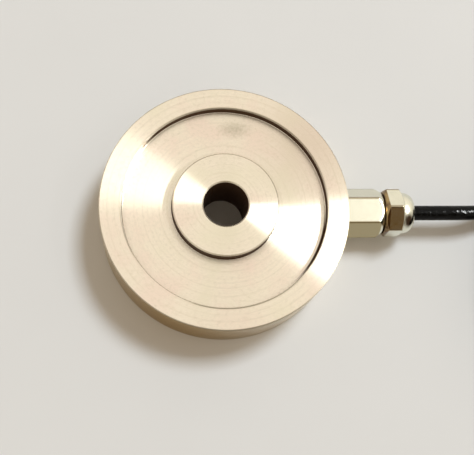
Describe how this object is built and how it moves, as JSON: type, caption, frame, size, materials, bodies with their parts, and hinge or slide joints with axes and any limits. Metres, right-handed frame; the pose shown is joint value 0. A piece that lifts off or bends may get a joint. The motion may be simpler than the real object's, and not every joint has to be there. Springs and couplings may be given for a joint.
{
  "type": "through-hole load cell",
  "caption": "Round through-hole compression load cell: turned steel ring with a recessed web, raised boss and bore, a side cable gland and its coiled black cable.",
  "frame": {"origin": "on the bore's axis, in the plane of the support face under the rim", "axes": "+Z along the bore, from the support face to the loading boss; +X through the cable gland"},
  "size_m": [0.2256, 0.1121, 0.0227],
  "materials": {
    "turned_steel": "fine turned stainless steel, warm",
    "cover_steel": "bright rolled stainless sheet",
    "gauge_film": "amber polyimide film with etched foil",
    "gauge_wire": "enamelled copper wire",
    "board_laminate": "green solder-masked laminate",
    "chip_ceramic": "black chip resistors with tinned ends",
    "core_red": "red core insulation",
    "core_black": "black core insulation",
    "core_green": "green core insulation",
    "core_white": "white core insulation",
    "tinned_copper": "tinned copper strands",
    "nickel_plate": "nickel-plated brass, polished",
    "gland_rubber": "black nitrile rubber",
    "claw_nylon": "natural nylon",
    "cable_jacket": "glossy black cable jacket",
    "tie_nylon": "black nylon",
    "shrink_sleeve": "black heat-shrink sleeve"
  },
  "bodies": {
    "root": {"sensing_body": "turned_steel", "bottom_cover": "cover_steel", "gauge_inner_1": "gauge_film", "gauge_inner_2": "gauge_film", "gauge_inner_3": "gauge_film", "gauge_inner_4": "gauge_film", "gauge_outer_1": "gauge_film", "gauge_outer_2": "gauge_film", "gauge_outer_3": "gauge_film", "gauge_outer_4": "gauge_film", "gauge_leads_1": "gauge_wire", "gauge_leads_2": "gauge_wire", "gauge_leads_3": "gauge_wire", "gauge_leads_4": "gauge_wire", "ring_board": "board_laminate", "zero_resistor": "chip_ceramic", "span_resistor": "chip_ceramic", "balance_resistor": "chip_ceramic", "trim_resistor": "chip_ceramic", "core_red": "core_red", "core_black": "core_black", "core_green": "core_green", "core_white": "core_white", "screen_drain": "tinned_copper", "gland_body": "nickel_plate", "gland_seal": "gland_rubber", "gland_bush": "gland_rubber", "gland_claw": "claw_nylon", "gland_nut": "nickel_plate", "cable_run": "cable_jacket", "cable_coil": "cable_jacket", "cable_tail": "cable_jacket", "coil_tie_near": "tie_nylon", "coil_tie_far": "tie_nylon", "end_sleeve": "shrink_sleeve", "lead_red": "core_red", "lead_black": "core_black", "lead_green": "core_green", "lead_white": "core_white", "lead_screen": "tinned_copper"}
  },
  "joints": []
}
